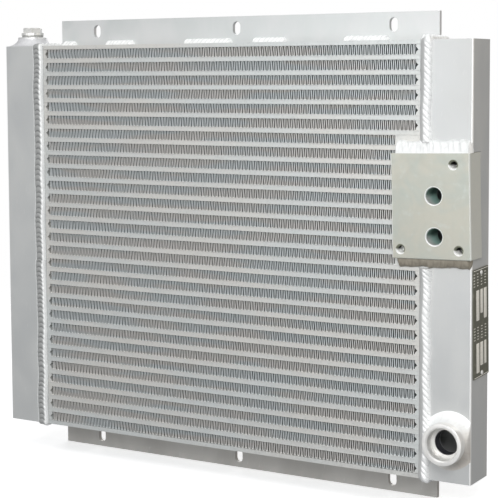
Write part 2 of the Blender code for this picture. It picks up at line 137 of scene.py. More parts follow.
# The tank beads' toes, measured out from the core's end, the height where the left one starts on the
# front, and the boss fillets' outer toe.
BEAD_INNER = 0.1 * MM
BEAD_OUTER = 11.7 * MM
LEFT_BEAD_START_Z = 210.5 * MM
BOSS_TOE_R = 28.5 * MM

# Stitch welds at the foot of each flange, as (from, to) along X in mm.
STITCHES = ((-225, -207), (-166, -129), (-64, -5), (20, 60), (125, 175), (209, 225))


# -------- meshes


def make_piece(name, points, faces, material, smooth_angle=35, body=BODY):
    """A mesh object in the part's frame, riding on a CAD body."""
    mesh = bpy.data.meshes.new(name)
    mesh.from_pydata(points, [], faces)
    bm = bmesh.new()
    bm.from_mesh(mesh)
    bmesh.ops.recalc_face_normals(bm, faces=bm.faces)
    bm.to_mesh(mesh)
    bm.free()
    mesh.shade_smooth()
    mesh.set_sharp_from_angle(angle=math.radians(smooth_angle))
    mesh.materials.append(material)
    obj = bpy.data.objects.new(name, mesh)
    bpy.context.scene.collection.objects.link(obj)
    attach(obj, body)
    return obj


def join_skins(skins):
    """Points and faces of several skins, as one mesh."""
    points = []
    faces = []
    for more, quads in skins:
        start = len(points)
        points += more
        faces += [tuple(start + i for i in quad) for quad in quads]
    return points, faces


def paint(piece, name, values):
    """Keeps a number for each point, which the piece's material reads."""
    layer = piece.data.attributes.new(name, "FLOAT", "POINT")
    layer.data.foreach_set("value", values)


def spoke_finder(out):
    """A function that gives the unit vector at an angle about the out direction."""
    first = Vector((1, 0, 0))
    second = out.cross(first)
    return lambda angle: first * math.cos(angle) + second * math.sin(angle)


def opening_centre(name):
    """The middle of an opening that the record states."""
    for opening in frame["record"]["physics"]["openings"]:
        if opening["name"] == name:
            low, high = opening["box_m"]
            return (Vector(low) + Vector(high)) / 2
    raise KeyError(name)


def skin_rings(rings, closed_along=False, caps=True):
    """Points and faces of the tube through rings of equal point counts, each ring closed."""
    count = len(rings[0])
    points = [point for ring in rings for point in ring]
    faces = []
    total = len(rings)
    spans = total if closed_along else total - 1
    for k in range(spans):
        a = k * count
        b = (k + 1) % total * count
        for i in range(count):
            j = (i + 1) % count
            faces.append((a + i, b + i, b + j, a + j))
    if caps and not closed_along:
        faces.append(tuple(range(count)))
        faces.append(tuple((total - 1) * count + i for i in reversed(range(count))))
    return points, faces


# -------- materials


class Finish:
    """A Principled material, with short ways to wire its textures."""

    def __init__(self, name, colour, roughness, metallic):
        self.material = bpy.data.materials.new(name)
        self.material.use_nodes = True
        self.tree = self.material.node_tree
        self.shader = self.tree.nodes["Principled BSDF"]
        self.shader.inputs["Base Color"].default_value = (*colour, 1)
        self.shader.inputs["Roughness"].default_value = roughness
        self.shader.inputs["Metallic"].default_value = metallic
        self.place = self.add("ShaderNodeTexCoord").outputs["Object"]

    def add(self, kind, **settings):
        node = self.tree.nodes.new(kind)
        for key, value in settings.items():
            setattr(node, key, value)
        return node

    def join(self, source, target):
        self.tree.links.new(source, target)

    def noise(self, size, detail=3.0, stretch=(1, 1, 1), distortion=0.0):
        """Noise with features of about the given size in metres, longer where stretch is smaller."""
        mapping = self.add("ShaderNodeMapping")
        mapping.inputs["Scale"].default_value = stretch
        self.join(self.place, mapping.inputs["Vector"])
        texture = self.add("ShaderNodeTexNoise")
        texture.inputs["Scale"].default_value = 1 / size
        texture.inputs["Detail"].default_value = detail
        texture.inputs["Distortion"].default_value = distortion
        self.join(mapping.outputs["Vector"], texture.inputs["Vector"])
        return texture.outputs["Fac"]

    def remap(self, source, low, high, to_low=0.0, to_high=1.0):
        """Eases the source from one range to another."""
        ranged = self.add("ShaderNodeMapRange", interpolation_type="SMOOTHSTEP")
        for name, value in (
            ("From Min", low),
            ("From Max", high),
            ("To Min", to_low),
            ("To Max", to_high),
        ):
            ranged.inputs[name].default_value = value
        self.join(source, ranged.inputs["Value"])
        return ranged.outputs["Result"]

    def maths(self, operation, first, second):
        """One sum on two numbers, each a value or a socket."""
        node = self.add("ShaderNodeMath", operation=operation)
        for socket, value in zip(node.inputs, (first, second)):
            if isinstance(value, (int, float)):
                socket.default_value = value
            else:
                self.join(value, socket)
        return node.outputs["Value"]

    def vector_maths(self, operation, source, value=None):
        """The outputs of one sum on a vector, with a constant vector where the sum takes two."""
        node = self.add("ShaderNodeVectorMath", operation=operation)
        self.join(source, node.inputs[0])
        if value is not None:
            node.inputs[1].default_value = value
        return node.outputs

    def axes(self, source):
        """A vector's three numbers, as outputs named X, Y and Z."""
        split = self.add("ShaderNodeSeparateXYZ")
        self.join(source, split.inputs[0])
        return split.outputs

    def blend(self, share, first, second):
        """Mixes two colours, each a tuple or a socket, by a share."""
        mix = self.add("ShaderNodeMix", data_type="RGBA")
        self.join(share, mix.inputs["Factor"])
        colour_sockets = [socket for socket in mix.inputs if socket.type == "RGBA"]
        for socket, value in zip(colour_sockets, (first, second)):
            if isinstance(value, tuple):
                socket.default_value = (*value, 1)
            else:
                self.join(value, socket)
        return [socket for socket in mix.outputs if socket.type == "RGBA"][0]

    def colour(self, source):
        self.join(source, self.shader.inputs["Base Color"])

    def roughness(self, source):
        self.join(source, self.shader.inputs["Roughness"])

    def bump(self, *layers):
        """Stacks (height, depth in metres) layers into the shader's normal."""
        below = None
        for height, depth in layers:
            bump = self.add("ShaderNodeBump")
            bump.inputs["Distance"].default_value = depth
            self.join(height, bump.inputs["Height"])
            if below:
                self.join(below, bump.inputs["Normal"])
            below = bump.outputs["Normal"]
        self.join(below, self.shader.inputs["Normal"])

    def attribute(self, name):
        """The number that paint() kept for each point."""
        node = self.add("ShaderNodeAttribute", attribute_name=name)
        return node.outputs["Fac"]


def brazed_finish():
    """Furnace-brazed bars and sheets: pale and frosted, with faint flux tints and tiny pits."""
    look = Finish("brazed_aluminium", (0.655, 0.663, 0.647), 0.42, 0.5)
    tint = look.noise(60 * MM, 2.0, (0.35, 1, 1))
    warm = look.blend(look.remap(tint, 0.38, 0.62), (0.66, 0.685, 0.675), (0.70, 0.69, 0.655))
    grain = look.noise(1.6 * MM, 2.0)
    look.colour(look.blend(look.remap(grain, 0.30, 0.48, 0.3, 0.0), warm, (0.484, 0.491, 0.484)))
    look.roughness(look.remap(look.noise(4 * MM), 0.3, 0.7, 0.36, 0.50))
    look.bump((look.noise(1.5 * MM, 1.0), 0.02 * MM), (look.noise(12 * MM, 1.0), 0.15 * MM))
    return look.material


def fin_finish():
    """Rolled foil, dark with painted shade, with painted light at its cut edges and brazing on its
    crests.
    """
    look = Finish("fin_aluminium", (0.60, 0.63, 0.64), 0.42, 0.35)
    tint = look.remap(look.noise(60 * MM, 2.0, (0.5, 1, 4)), 0.42, 0.58)
    # The foil's dark colour is painted shade, and the pale colour is painted light at its edges.
    foil = look.blend(tint, (0.18, 0.222, 0.232), (0.222, 0.212, 0.19))
    edge_light = look.blend(tint, (0.91, 0.945, 0.95), (0.965, 0.945, 0.915))
    look.colour(look.blend(look.attribute("braze_and_edge_light"), foil, edge_light))
    look.roughness(look.remap(look.noise(3 * MM), 0.3, 0.7, 0.32, 0.52))
    look.bump((look.noise(1.2 * MM, 1.0, (1, 0.2, 1)), 0.02 * MM))
    return look.material


def tank_finish(name, dark, light):
    """Rolled sheet: satin, with fine lines along its length, dull patches and a painted highlight along
    the outer front edges.
    """
    look = Finish(name, light, 0.42, 0.5)
    lines = look.noise(0.8 * MM, 2.0, (1, 1, 0.012))
    patches = look.noise(38 * MM, 3.0, (1, 1, 0.6), 0.4)
    pale = look.blend(look.remap(patches, 0.30, 0.72), dark, light)
    scuffs = look.noise(2.5 * MM, 4.0, (1, 1, 0.25))
    scuffed = look.blend(look.remap(scuffs, 0.62, 0.76, 0.0, 0.3), pale, (0.725, 0.725, 0.718))
    place = look.axes(look.place)
    # A painted highlight along each tank's outer front edge.
    outward = look.maths("ABSOLUTE", place["X"], 0)
    side = look.remap(outward, SIDE_X - 1.7 * MM, SIDE_X - 0.9 * MM)
    front = look.remap(place["Y"], FRONT + 0.9 * MM, FRONT + 1.7 * MM, 1.0, 0.0)
    wear_and_edge_light = look.maths("MULTIPLY", look.maths("MULTIPLY", side, front), 0.9)
    look.colour(look.blend(wear_and_edge_light, scuffed, (1.0, 1.0, 0.98)))
    look.roughness(look.remap(patches, 0.3, 0.7, 0.38, 0.48))
    look.bump((lines, 0.012 * MM), (look.noise(20 * MM, 1.0), 0.2 * MM))
    return look.material


def weld_finish(name, clean, dull, valley):
    """Weld metal: clean on the ripples, duller in patches, and darker where the valley attribute paints
    shade.
    """
    look = Finish(name, clean, 0.46, 0.12)
    soot_and_shade = look.noise(11 * MM, 3.0, (1, 1, 1), 0.6)
    metal = look.blend(look.remap(soot_and_shade, 0.48, 0.72, 0.0, 0.5), clean, dull)
    # The valley colour is painted shade.
    look.colour(look.blend(look.attribute("valley"), metal, valley))
    look.roughness(look.remap(look.noise(2.5 * MM), 0.3, 0.7, 0.38, 0.54))
    look.bump((look.noise(2.5 * MM, 1.0), 0.08 * MM))
    return look.material


def machined_finish(block_front, middle, holes):
    """A milled block whose oxide drifts from straw to sea green, with a painted highlight along its
    side edges.

    holes are (centre, radius, chamfer, film) tuples: oil has left a teal film in those where film
    is true. Each hole has painted light at its lower left and painted shade at its upper right,
    and the film's painted shade deepens further in.
    """
    look = Finish("machined_aluminium", (0.577, 0.593, 0.546), 0.36, 0.45)
    drift = look.noise(30 * MM, 3.0, (1, 1, 1), 0.8)
    oxide = look.blend(look.remap(drift, 0.32, 0.66), (0.475, 0.502, 0.452), (0.531, 0.523, 0.452))
    stains = look.noise(9 * MM, 4.0)
    face = look.blend(look.remap(stains, 0.55, 0.72, 0.0, 0.35), oxide, (0.593, 0.624, 0.585))
    level = look.axes(look.place)["Y"]
    sunk = look.remap(level, block_front + 1.2 * MM, block_front + 3 * MM)
    shallow = look.maths("SUBTRACT", 1, sunk)
    depth = look.remap(level, block_front + 3 * MM, block_front + 17 * MM)
    # The teal is the oil film's own colour; its darkening with depth is painted shade, its pale side
    # painted light.
    film_in_shade = look.blend(depth, (0.32, 0.46, 0.40), (0.10, 0.18, 0.15))
    film_in_light = look.blend(depth, (1.0, 1.0, 0.98), (0.62, 0.92, 0.83))
    for centre, radius, chamfer, film in holes:
        offset = look.vector_maths("SUBTRACT", look.place, centre)["Vector"]
        flat = look.vector_maths("MULTIPLY", offset, (1, 0, 1))["Vector"]
        reach = look.vector_maths("LENGTH", flat)["Value"]
        rim = radius + chamfer
        inside = look.remap(reach, rim + 0.2 * MM, rim + 0.5 * MM, 1.0, 0.0)
        # Painted light on each hole's lower left mouth and wall, painted shade on its upper right.
        below = look.vector_maths("DOT_PRODUCT", offset, (-0.35, 0, -0.94))["Value"]
        lit_side = look.remap(below, 0.1 * radius, 0.75 * radius)
        mouth_in_shade = (0.92, 0.95, 0.91) if film else (0.22, 0.23, 0.17)
        mouth = look.blend(lit_side, mouth_in_shade, (1.0, 1.0, 0.98))
        face = look.blend(look.maths("MULTIPLY", inside, shallow), face, mouth)
        deep = look.blend(lit_side, film_in_shade, film_in_light)
        if not film:
            deep = look.blend(lit_side, (0.02, 0.02, 0.015), (1.0, 1.0, 0.97))
        face = look.blend(look.maths("MULTIPLY", inside, sunk), face, deep)
    local = look.add("ShaderNodeMapping", vector_type="TEXTURE")
    local.inputs["Location"].default_value = middle
    local.inputs["Rotation"].default_value = (0, -BLOCK_TURN, 0)
    look.join(look.place, local.inputs["Vector"])
    across = look.maths("ABSOLUTE", look.axes(local.outputs["Vector"])["X"], 0)
    edge = look.remap(across, BLOCK_HALF_W - 1.3 * MM, BLOCK_HALF_W - 0.5 * MM)
    # A painted highlight along the front face's side edges.
    wear_and_edge_light = look.maths("MULTIPLY", look.maths("MULTIPLY", edge, shallow), 0.8)
    flank = look.maths("MULTIPLY", edge, sunk)
    face = look.blend(flank, face, (0.74, 0.74, 0.67))
    look.colour(look.blend(wear_and_edge_light, face, (0.97, 0.99, 0.94)))
    look.roughness(look.remap(look.noise(5 * MM), 0.3, 0.7, 0.30, 0.44))
    milled = look.noise(1.5 * MM, 1.0, (1, 1, 0.1))
    look.bump((milled, 0.006 * MM), (look.noise(20 * MM, 1.0), 0.1 * MM))
    return look.material


def turned_finish(name, centre, axis, colour):
    """Lathe-turned metal with fine rings about an axis through the centre, dark where shade is painted
    in its bores.
    """
    look = Finish(name, colour, 0.3, 0.4)
    mapping = look.add("ShaderNodeMapping")
    mapping.inputs["Location"].default_value = [-value for value in centre]
    look.join(look.place, mapping.inputs["Vector"])
    rings = look.add("ShaderNodeTexWave", wave_type="RINGS", rings_direction=axis)
    rings.inputs["Scale"].default_value = 220
    rings.inputs["Distortion"].default_value = 0.4
    look.join(mapping.outputs["Vector"], rings.inputs["Vector"])
    smear = look.noise(9 * MM, 1.0)
    dull = tuple(value * 0.86 for value in colour)
    metal = look.blend(look.remap(smear, 0.40, 0.72, 0.0, 0.7), colour, dull)
    # This attribute paints shade: nearly black in the bores, faint in the socket's grooves.
    look.colour(look.blend(look.attribute("soot_and_shade"), metal, (0.06, 0.06, 0.07)))
    look.roughness(look.remap(look.noise(12 * MM, 1.0), 0.3, 0.7, 0.28, 0.38))
    look.bump((rings.outputs["Fac"], 0.001 * MM))
    return look.material


def steel_finish():
    """Zinc-plated steel with a faint mottle."""
    look = Finish("plated_steel", (0.84, 0.84, 0.81), 0.32, 0.5)
    mottle = look.noise(4 * MM, 2.0)
    look.colour(look.blend(look.remap(mottle, 0.35, 0.65), (0.78, 0.78, 0.75), (0.90, 0.89, 0.86)))
    look.roughness(look.remap(look.noise(3 * MM, 1.0), 0.3, 0.7, 0.28, 0.38))
    look.bump((look.noise(3 * MM, 1.0), 0.01 * MM))
    return look.material


def seal_finish():
    """The bonded washer's dull, slightly dusty rim."""
    look = Finish("sealing_washer", (0.468, 0.468, 0.451), 0.5, 0.3)
    dust = look.noise(2 * MM, 4.0)
    dusty = look.remap(dust, 0.45, 0.75, 0.0, 0.5)
    look.colour(look.blend(dusty, (0.442, 0.442, 0.425), (0.578, 0.578, 0.561)))
    look.roughness(look.remap(dust, 0.3, 0.7, 0.5, 0.65))
    look.bump((look.noise(0.5 * MM), 0.01 * MM))
    return look.material


def plate_finish():
    """Dark olive print on an aluminium plate, with a little wear."""
    look = Finish("nameplate_paint", (0.10, 0.10, 0.075), 0.42, 0.2)
    wear = look.noise(5 * MM, 5.0)
    wear_and_edge_light = look.remap(wear, 0.50, 0.78, 0.0, 0.5)
    look.colour(look.blend(wear_and_edge_light, (0.125, 0.125, 0.09), (0.32, 0.31, 0.26)))
    look.roughness(look.remap(wear, 0.3, 0.7, 0.34, 0.52))
    look.bump((look.noise(0.4 * MM, 2.0), 0.006 * MM))
    return look.material


def field_finish():
    """Pale blank fields left unprinted on the plate."""
    look = Finish("nameplate_fields", (0.80, 0.78, 0.70), 0.38, 0.2)
    wear = look.noise(2.5 * MM, 5.0)
    wear_and_edge_light = look.remap(wear, 0.45, 0.70, 0.0, 0.6)
    look.colour(look.blend(wear_and_edge_light, (1.0, 0.98, 0.90), (0.76, 0.75, 0.68)))
    look.roughness(look.remap(wear, 0.3, 0.7, 0.32, 0.5))
    look.bump((look.noise(0.3 * MM, 2.0), 0.003 * MM))
    return look.material


def floor_finish():
    """A matt white floor that fades into the backdrop away from the part."""
    look = Finish("studio_floor", (0.95, 0.95, 0.95), 0.8, 0.0)
    shade = look.noise(1.5, 2.0)
    look.colour(look.blend(look.remap(shade, 0.3, 0.7), (0.94, 0.94, 0.94), (0.96, 0.96, 0.96)))
    distance = look.vector_maths("LENGTH", look.place)["Value"]
    fade = look.remap(distance, 0.6, 1.5, 1.0, 0.0)
    look.join(fade, look.shader.inputs["Alpha"])
    look.shader.inputs["Emission Color"].default_value = (1, 1, 1, 1)
    look.shader.inputs["Emission Strength"].default_value = 0.42
    return look.material


def give(material, *names):
    """Puts the material in place of whatever the named CAD nodes came with."""
    for name in names:
        mesh = nodes[name].data
        mesh.materials.clear()
        mesh.materials.append(material)


# -------- air fins


def fin_line(low, high, rng):
    """The foil's middle line as (x, z, brazing share): rounded crests joined by nearly upright walls.
    """
    halves = 2 * round((high.x - low.x) / FIN_WAVE)
    run = (high.x - low.x) / halves
    turns = rng.uniform(0.6, 2.2)
    phase = rng.uniform(0, TAU)
    swing = rng.uniform(0.35, 1.0)
    bias = rng.uniform(-0.5, 0.5)
    reach = FIN_CREST + FIN_BEND
    line = []
    for i in range(halves + 1):
        up = 1 if i % 2 else -1
        lean = FIN_LEAN * (bias + swing * math.sin(turns * TAU * i / halves + phase))
        x = low.x + i * run + up * lean + rng.gauss(0, 0.08 * MM)
        x = min(max(x, low.x + reach), high.x - reach)
        crest = high.z if up > 0 else low.z
        shoulder = crest - up * FIN_SHOULDER
        wetted = 0.4 if up > 0 else 1.0
        line.append((x - reach, shoulder, wetted / 4))
        line.append((x - FIN_CREST, crest, wetted))
        line.append((x + FIN_CREST, crest, wetted))
        line.append((x + reach, shoulder, wetted / 4))
    return line


def fin_sides(line):
    """The line's two sides, half a foil's thickness away each way."""
    sides = ([], [])
    for i, (x, z, _) in enumerate(line):
        before = line[max(i - 1, 0)]
        after = line[min(i + 1, len(line) - 1)]
        along = Vector((after[0] - before[0], after[1] - before[1])).normalized()
        across = Vector((-along.y, along.x)) * FIN_FOIL / 2
        sides[0].append((x + across.x, z + across.y))
        sides[1].append((x - across.x, z - across.y))
    return sides


def make_fin(row, material):
    """Fine corrugated foil in place of a row's coarse CAD fin."""
    node = f"air_fin_{row:02d}"
    low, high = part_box(node)
    low = low + Vector((-FIN_GAP, FIN_SUNK, -FIN_GAP / 2))
    high = high + Vector((FIN_GAP, -FIN_SUNK, FIN_GAP / 2))
    rng = random.Random(100 + row)
    line = fin_line(low, high, rng)
    upper, lower = fin_sides(line)
    outline = upper + lower[::-1]
    crest = [share for _, _, share in line]
    crest += crest[::-1]
    deep = (high.y - low.y) / FIN_DEPTH_STEPS
    depths = [low.y + edge for edge in FIN_EDGES]
    depths += [low.y + deep * k for k in range(1, FIN_DEPTH_STEPS)]
    depths += [high.y - edge for edge in reversed(FIN_EDGES)]
    rings = []
    braze_and_edge_light = []
    for k, y in enumerate(depths):
        outer = min(k, len(depths) - 1 - k)
        sway = FIN_SWAY * (1 if k % 2 else -1) if outer >= len(FIN_EDGES) else -FIN_SWAY
        rings.append([(x + sway, y, z) for x, z in outline])
        # Painted light at the foil's front and back edges, added to the brazing at its crests.
        edge_light = FIN_EDGE_LIGHT[outer] if outer < len(FIN_EDGES) else 0.0
        braze_and_edge_light += [max(edge_light, share) if outer < 2 else share * 0.7 for share in crest]
    points, faces = skin_rings(rings, caps=False)
    count = len(outline)
    half = len(upper)
    last = len(points) - count
    for i in range(half - 1):
        j = count - 1 - i
        faces.append((i, i + 1, j - 1, j))
        faces.append((last + j, last + j - 1, last + i + 1, last + i))
    piece = make_piece(f"fine_fin_{row:02d}", points, faces, material, smooth_angle=30)
    paint(piece, "braze_and_edge_light", braze_and_edge_light)
    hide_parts(node)


def make_sheet_edges(material):
    """The parting sheets' edges, which stand a little proud of the bars between them."""
    sunk = 0.2 * MM
    heights = []
    for row in range(1, ROWS + 1):
        low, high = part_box(f"air_fin_{row:02d}")
        if row < ROWS:
            heights.append(low.z - FIN_GAP - SHEET_T / 2)
        if row > 1:
            heights.append(high.z + FIN_GAP + SHEET_T / 2)
    skins = []
    steps = 60
    for side, plane in ((-1, FRONT), (1, BACK)):
        for number, z in enumerate(heights):
            rng = random.Random(number + 1000 * (side + 1))
            rings = []
            for k in range(steps + 1):
                x = CORE_LOW.x + (CORE_HIGH.x - CORE_LOW.x) * k / steps
                waver = rng.gauss(0, 0.03 * MM)
                out = plane + side * (SHEET_PROUD + rng.gauss(0, 0.03 * MM))
                shoulder = plane + side * SHEET_PROUD * 0.4
                back = plane - side * sunk
                section = [
                    (back, -SHEET_T / 2),
                    (shoulder, -SHEET_T / 2),
                    (out, -SHEET_T / 4),
                    (out, SHEET_T / 4),
                    (shoulder, SHEET_T / 2),
                    (back, SHEET_T / 2),
                ]
                if side > 0:
                    section.reverse()
                rings.append([(x, y, z + waver + dz) for y, dz in section])
            skins.append(skin_rings(rings))
    points, faces = join_skins(skins)
    piece = make_piece("parting_sheet_edges", points, faces, material, smooth_angle=50)


# -------- welds


class Ripples:
    """Overlapping scallops along a weld: how far the metal stands out, and how much shade is painted in
    its valleys.
    """

    def __init__(self, seed, pitch=RIPPLE_PITCH):
        self.rng = random.Random(seed)
        self.pitch = pitch
        self.starts = [0.0]
        self.sizes = []

    def at(self, along):
        """(height from 0 to 1, valley from 0 to 1) at a distance along the weld."""
        while self.starts[-1] <= along:
            self.starts.append(self.starts[-1] + self.pitch * self.rng.uniform(0.78, 1.22))
            self.sizes.append(self.rng.uniform(0.7, 1.0))
        number = len(self.starts) - 2
        while number > 0 and self.starts[number] > along:
            number -= 1
        start = self.starts[number]
        share = max(along - start, 0) / (self.starts[number + 1] - start)
        hump = math.sin(math.pi * min(share**0.8, 1))
        return hump**0.6 * self.sizes[number], (1 - hump) ** 4


def weld_piece(
    name, stations, section, ripples, amplitude, bow, material, closed=False, painted_shadow=None
):
    """A rippled weld.

    stations are (distance along, place(u, out) function). section holds (u, out, weight, shift,
    shade) from one toe of the weld to the other: how much the ripples move a point, how far they
    bend there, and how much shade is painted there. Its last points close it through the metal that
    it joins. The last argument gives the painted shadow to add at a distance along.
    """
    rings = []
    valleys = []
    lead = 4 * bow
    for along, place in stations:
        ring = []
        for u, out, weight, shift, soot_and_shade in section:
            hump, valley = ripples.at(along + lead + bow * shift)
            ring.append(place(u, out + weight * amplitude * (hump - 0.5)))
            # Painted shade: in the ripples' valleys, on the shaded flank and in cast shadows.
            painted_shade = soot_and_shade + (painted_shadow(along) if painted_shadow else 0)
            valleys.append(min(painted_shade + valley * min(weight, 1) * VALLEY_SHADE, 1))
        rings.append(ring)
    points, faces = skin_rings(rings, closed_along=closed)
    piece = make_piece(name, points, faces, material, smooth_angle=60)
    paint(piece, "valley", valleys)
    return piece


def bead_section(low, high, height, slanted, steps=18):
    """A cap from low to high across the seam.

    A slanted bead is smooth beside the core, where its flank is painted with shade, and its ripples
    lean. Otherwise they bow downwards, and the flank beside the tank is painted with shade.
    """
    section = []
    for i in range(steps + 1):
        a = -1 + 2 * i / steps
        cap = max(1 - a * a, 0) ** 0.6
        flank = min(max((a + 0.66) / 0.16, 0), 1) * min(max((0.72 - a) / 0.15, 0), 1)
        lean = (a + 0.7) / (1.7 if a > -0.7 else 0.3)
        rise = max(1 - lean * lean, 0) ** 0.6
        weight = max(rise * 0.5, flank * cap ** 0.5)
        shift = -a * a
        # Painted shade on the flank beside the tank.
        soot_and_shade = 0.68 * flank + 0.12
        if slanted:
            rise = cap * (1 + 0.45 * a)
            weight = min(max((a + 0.35) / 0.3, 0), 1) * min(rise * 1.6, 1)
            shift = -a
            # Painted shade on the flank beside the core.
            soot_and_shade = 0.6 * min(max(-0.05 - a, 0) / 0.3, 1)
        across = low + (high - low) * i / steps
        section.append((across, height * rise, weight, shift, soot_and_shade))
    return section + [(high, -0.4 * MM, 0, -1, 0), (low, -0.4 * MM, 0, -1, 0)]


def seam_path(radius, start_z, end_z):
    """The way round a tank's joint: down the front from start_z, under, up the back and over.

    Gives (distance, y, z, angle of the out direction), with corners rounded to the radius.
    """
    corners = (
        (FRONT, TANK_BOTTOM, math.pi),
        (BACK, TANK_BOTTOM, 1.5 * math.pi),
        (BACK, TANK_TOP, 0.0),
        (FRONT, TANK_TOP, 0.5 * math.pi),
    )
    route = [(FRONT, start_z, math.pi)]
    for y, z, start in corners:
        centre_y = y + radius * (1 if y == FRONT else -1)
        centre_z = z + radius * (1 if z == TANK_BOTTOM else -1)
        for step in range(5):
            angle = start + math.pi / 2 * step / 4
            route.append(
                (centre_y + radius * math.cos(angle), centre_z + radius * math.sin(angle), angle)
            )
    route.append((FRONT, end_z, math.pi))
    path = []
    along = 0.0
    for first, second in zip(route, route[1:]):
        span = math.hypot(second[0] - first[0], second[1] - first[1])
        turn = (second[2] - first[2] + math.pi) % TAU - math.pi
        steps = max(1, round(span / RIPPLE_STEP))
        for i in range(steps):
            share = i / steps
            y = first[0] + (second[0] - first[0]) * share
            z = first[1] + (second[1] - first[1]) * share
            angle = first[2] + turn * share
            path.append((along + span * share, y, z, angle))
        along += span
    path.append((along, route[-1][0], route[-1][1], route[-1][2]))
    return path


def make_tank_bead(name, node, side, swell_at, start_z, end_z, closed, seed, material):
    """The bead round a tank's joint with the core. It swells at the heights in swell_at."""
    inner = CORE_HIGH.x + BEAD_INNER
    outer = CORE_HIGH.x + BEAD_OUTER
    section = bead_section(inner, outer, 3.4 * MM, True)
    pitch = 6.1 * MM
    if side < 0:
        section = bead_section(inner + 1.4 * MM, outer + 3.6 * MM, 2.6 * MM, False)
        pitch = 5.6 * MM
    stations = []
    path = seam_path(1.5 * MM, start_z, end_z)
    if closed:
        path = path[:-1]
    rng = random.Random(seed)
    drift = [rng.uniform(0, TAU) for _ in range(3)]
    for along, y, z, angle in path:
        back = max(math.cos(angle), 0)
        share = 1 - 0.66 * back
        swell = 1.0
        if swell_at and angle > math.pi * 0.9:
            swell += 0.75 * max(0, 1 - min(abs(z - edge) for edge in swell_at) / (14 * MM))
        wander = 0.38 * MM * sum(math.sin(along / (23 * MM) * (n + 1) + drift[n]) for n in range(3))

        def place(u, out, y=y, z=z, angle=angle, share=share * swell, wander=wander):
            lift = out * share if out > 0 else out
            middle = (inner + outer) / 2
            across = middle + (u - middle) * (1 + 0.25 * (share - 1 if share > 1 else 0)) + wander
            return (
                side * max(across, inner - 0.3 * MM),
                y + lift * math.cos(angle),
                z + lift * math.sin(angle),
            )

        stations.append((along, place))
    if side < 0:
        section = section[::-1]
    piece = weld_piece(
        name, stations, section, Ripples(seed, pitch), 1.7 * MM, 5.0 * MM, material, closed=closed
    )
    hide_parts(node)


def on_tank_front(point):
    """The point, kept inside the right tank's outer side."""
    point.x = min(point.x, SIDE_X - 0.2 * MM)
    return tuple(point)


def on_tank_top(point):
    """The point, kept on the left tank's top."""
    point.x = max(point.x, -SIDE_X + 0.2 * MM)
    point.y = min(max(point.y, FRONT + 0.2 * MM), BACK - 0.2 * MM)
    return tuple(point)


def ring_weld(
    name, node, origin, out, inner, height, clamp, seed, material, amplitude, pitch=9 * MM, tint=0
):
    """A rippled fillet round a boss. clamp keeps its points on the metal that it is laid on.

    tint is how strong the painted brown shadow on its lower right is.
    """
    outer = BOSS_TOE_R
    origin = Vector(origin)
    out = Vector(out)
    spoke_at = spoke_finder(out)
    steps = 10
    section = []
    for i in range(steps + 1):
        turn = math.pi / 2 * i / steps
        reach = outer - (outer - inner) * math.sin(turn) ** 1.1
        rise = height * (1 - math.cos(turn)) ** 0.95
        weight = 0.25 * math.sin(math.pi * i / steps) ** 0.5
        section.append((reach, rise, weight, -((i / steps) ** 2), 0))
    section += [(inner - 0.3 * MM, -0.3 * MM, 0, -1, 0), (outer, -0.3 * MM, 0, 0, 0)]
    around = TAU * (inner + outer) / 2
    count = round(around / RIPPLE_STEP)
    ripples = Ripples(seed, around / round(around / pitch))
    rng = random.Random(seed)
    drift = [rng.uniform(0, TAU) for _ in range(3)]
    stations = []
    for k in range(count):
        angle = TAU * k / count
        waver = 1 + 0.035 * sum(math.sin((n + 2) * angle + drift[n]) for n in range(3))

        def place(u, rise, angle=angle, waver=waver):
            reach = inner + (u - inner) * waver if u > inner else u
            return clamp(origin + spoke_at(angle) * reach + out * rise)

        stations.append((around * k / count, place))

    # Painted brown shadow on the fillet's lower right, under the boss.
    def painted_shadow(along):
        return tint * max(math.cos(TAU * along / around + 0.9), 0)

    piece = weld_piece(
        name, stations, section, ripples, amplitude, 3.0 * MM, material, closed=True, painted_shadow=painted_shadow
    )
    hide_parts(node)


def line_weld(
    name, start, end, wall, rise, foot, height, seed, material, amplitude, pitch, bow, spatter=0.0
):
    """A rippled fillet along a line. It reaches foot along the wall's direction and height along rise.

    spatter is the height of the lumps that make it uneven.
    """
    start = Vector(start)
    end = Vector(end)
    wall_out = Vector(wall)
    base_out = Vector(rise)
    length = (end - start).length
    along_line = (end - start).normalized()
    steps = 8
    section = []
    for i in range(steps + 1):
        turn = math.pi / 2 * i / steps
        weight = max(math.sin(2 * turn), 0) ** 0.5
        section.append((math.cos(turn), math.sin(turn), weight, -math.sin(turn), 0))
    section += [(-0.06, 1.0, 0, 0, 0), (-0.06, -0.06, 0, 0, 0), (1.0, -0.06, 0, 0, 0)]
    count = max(4, round(length / RIPPLE_STEP))
    rng = random.Random(seed)
    drift = [rng.uniform(0, TAU) for _ in range(3)]
    stations = []
    for k in range(count + 1):
        share = k / count
        waves = (math.sin(share * length / (5 * MM) * (n + 1) + drift[n]) / (n + 1) for n in range(3))
        lump = 1 + 0.06 * sum(waves)
        taper = min(1, math.sqrt(max(share * length, 0) / (3 * MM) + 0.04))
        taper = min(taper, math.sqrt(max((1 - share) * length, 0) / (3 * MM) + 0.04))
        centre = start + along_line * length * share

        def place(u, out, centre=centre, taper=taper, lump=lump):
            reach = foot * u * (lump if u > 0.5 else 1)
            point = centre + (wall_out * reach + base_out * height * out) * taper
            proud = min(max(u, 0), max(out, 0)) ** 0.5
            lumps = noise.noise(point / (3.2 * MM)) + 0.6 * noise.noise(point / (1.7 * MM))
            return point + (wall_out + base_out) * spatter * lumps * proud * taper

        stations.append((length * share, place))
    scale = amplitude / max(foot, height)
    if along_line.dot(wall_out.cross(base_out)) > 0:
        section = section[::-1]
    return weld_piece(name, stations, section, Ripples(seed, pitch), scale, bow, material)


# -------- turned pieces


